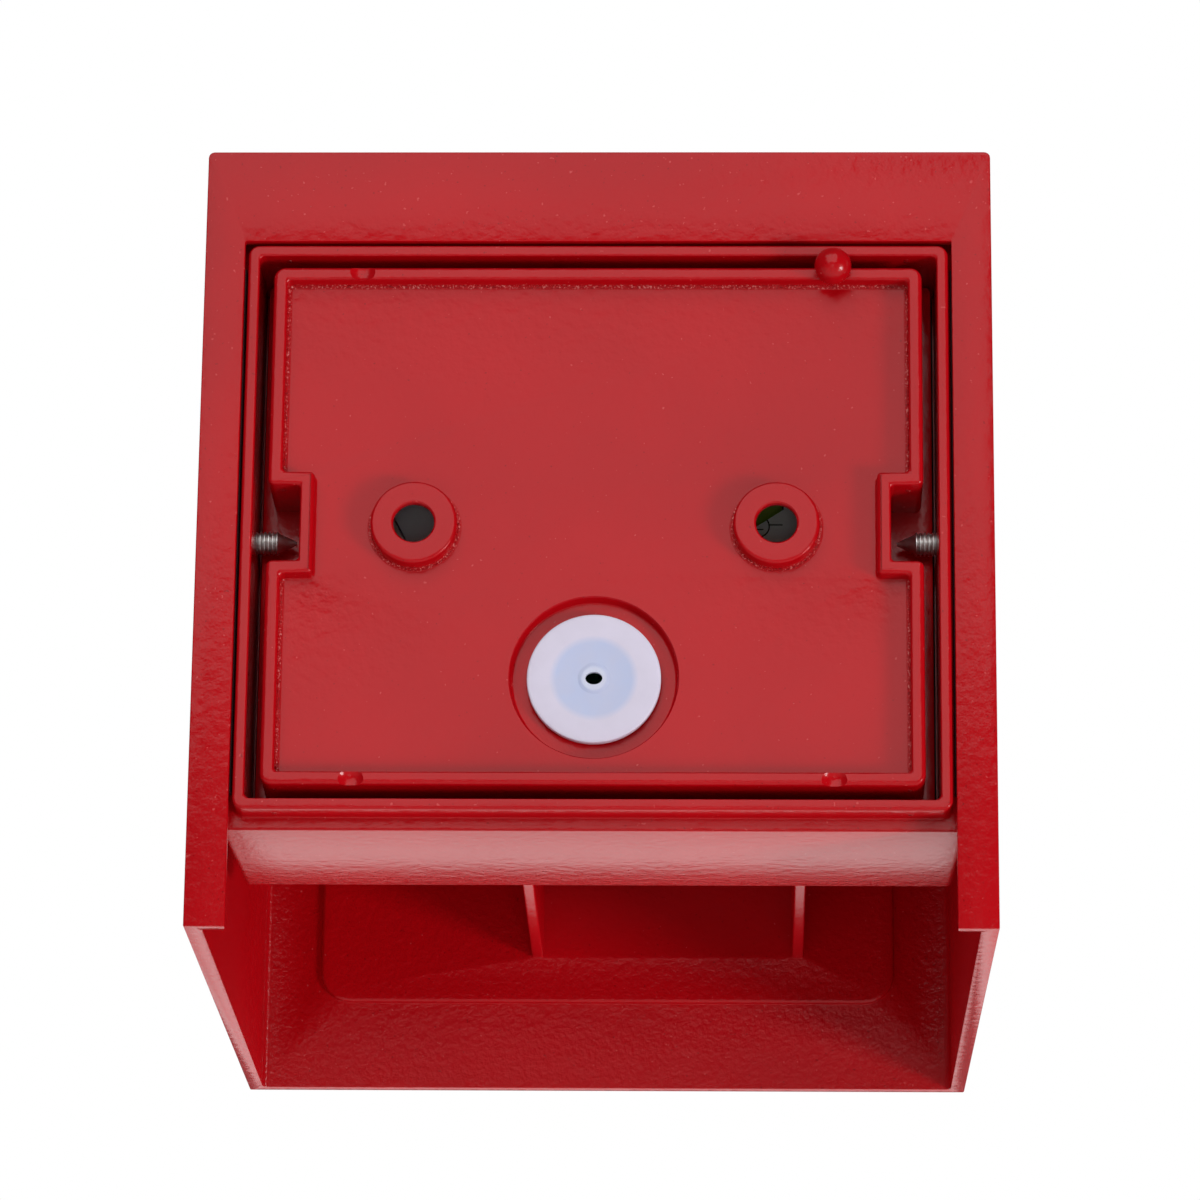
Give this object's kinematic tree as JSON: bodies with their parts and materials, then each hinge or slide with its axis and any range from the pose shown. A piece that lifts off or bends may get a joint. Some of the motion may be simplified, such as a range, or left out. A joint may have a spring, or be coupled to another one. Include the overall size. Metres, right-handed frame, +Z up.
{
  "type": "manual call point",
  "caption": "Wall-mounted manual call point: cast housing on a back plate, palm push-button with key reset, and a deep hood that slides up to uncover it.",
  "frame": {"origin": "midway between the two wall fixing holes, in the plane of the wall", "axes": "+Z up, +Y towards the wall, so the front looks along -Y; +X is to the right seen from the front"},
  "size_m": [0.132, 0.1124, 0.1356],
  "materials": {
    "red_powder_coat": "satin powder coat with fine orange peel",
    "plated_steel": "dull zinc plate",
    "earth_brass": "plain turned brass",
    "black_rubber": "matt",
    "silicone": "satin, slightly translucent",
    "nylon": "satin",
    "black_plastic": "satin moulded",
    "white_plate": "satin printed plate",
    "grey_plastic": "fine spark-eroded texture",
    "green_plastic": "satin moulded",
    "board_laminate": "solder mask",
    "lamp_red": "clear tinted",
    "resistor_body": "lacquered, with colour rings"
  },
  "bodies": {
    "housing": {"housing_shell": "red_powder_coat", "back_plate": "red_powder_coat", "body_gasket": "black_rubber", "cable_grommet": "silicone", "earth_screw": "earth_brass", "clamp_screw_left": "plated_steel", "clamp_screw_right": "plated_steel", "lift_stop_screw_left": "plated_steel", "lift_stop_screw_right": "plated_steel", "hood_buffer_left": "black_rubber", "hood_buffer_right": "black_rubber", "glide_strip_left": "nylon", "glide_strip_right": "nylon", "legend_plate": "white_plate", "panel_seal": "black_rubber", "button_collar": "black_plastic", "stem_seal": "black_rubber", "ring_nut": "plated_steel", "return_spring": "plated_steel", "lamp_holder": "plated_steel", "lamp_lens": "lamp_red", "lamp_nut": "plated_steel", "lamp_led": "lamp_red", "circuit_board": "board_laminate", "board_screw_1": "plated_steel", "board_screw_2": "plated_steel", "board_screw_3": "plated_steel", "board_screw_4": "plated_steel", "board_cover": "grey_plastic", "terminal_block": "green_plastic", "terminal_screw_1": "plated_steel", "terminal_screw_2": "plated_steel", "terminal_screw_3": "plated_steel", "terminal_screw_4": "plated_steel", "terminal_screw_5": "plated_steel", "terminal_screw_6": "plated_steel", "lamp_plug": "nylon", "line_resistor": "resistor_body", "micro_switch_left": "black_plastic", "micro_switch_right": "black_plastic"},
    "hood": {"hood_shell": "red_powder_coat", "instruction_plate": "white_plate"},
    "push_button": {"palm_head": "black_plastic", "push_stem": "plated_steel", "press_bar": "grey_plastic", "stem_clip": "plated_steel"},
    "reset_lock": {"lock_barrel": "plated_steel"},
    "switch_plungers": {"switch_plunger_left": "lamp_red", "switch_plunger_right": "lamp_red"}
  },
  "joints": [
    {"name": "hood_lift", "type": "slide", "parent": "housing", "child": "hood", "axis": [0, 0, 1], "range_m": [0, 0.07]},
    {"name": "button_press", "type": "slide", "parent": "housing", "child": "push_button", "axis": [0, 1, 0], "range_m": [0, 0.0045], "deforming": ["return_spring"]},
    {"name": "reset_turn", "type": "hinge", "parent": "push_button", "child": "reset_lock", "pos_m": [-0.0109, -0.065, 0], "axis": [0, 1, 0], "range_deg": [0, 60]},
    {"name": "switch_press", "type": "slide", "parent": "housing", "child": "switch_plungers", "axis": [0, 1, 0], "range_m": [0, 0.001]}
  ],
  "couplings": [
    {"joint": "switch_press", "follows": "button_press", "ratio": 0.2222}
  ]
}
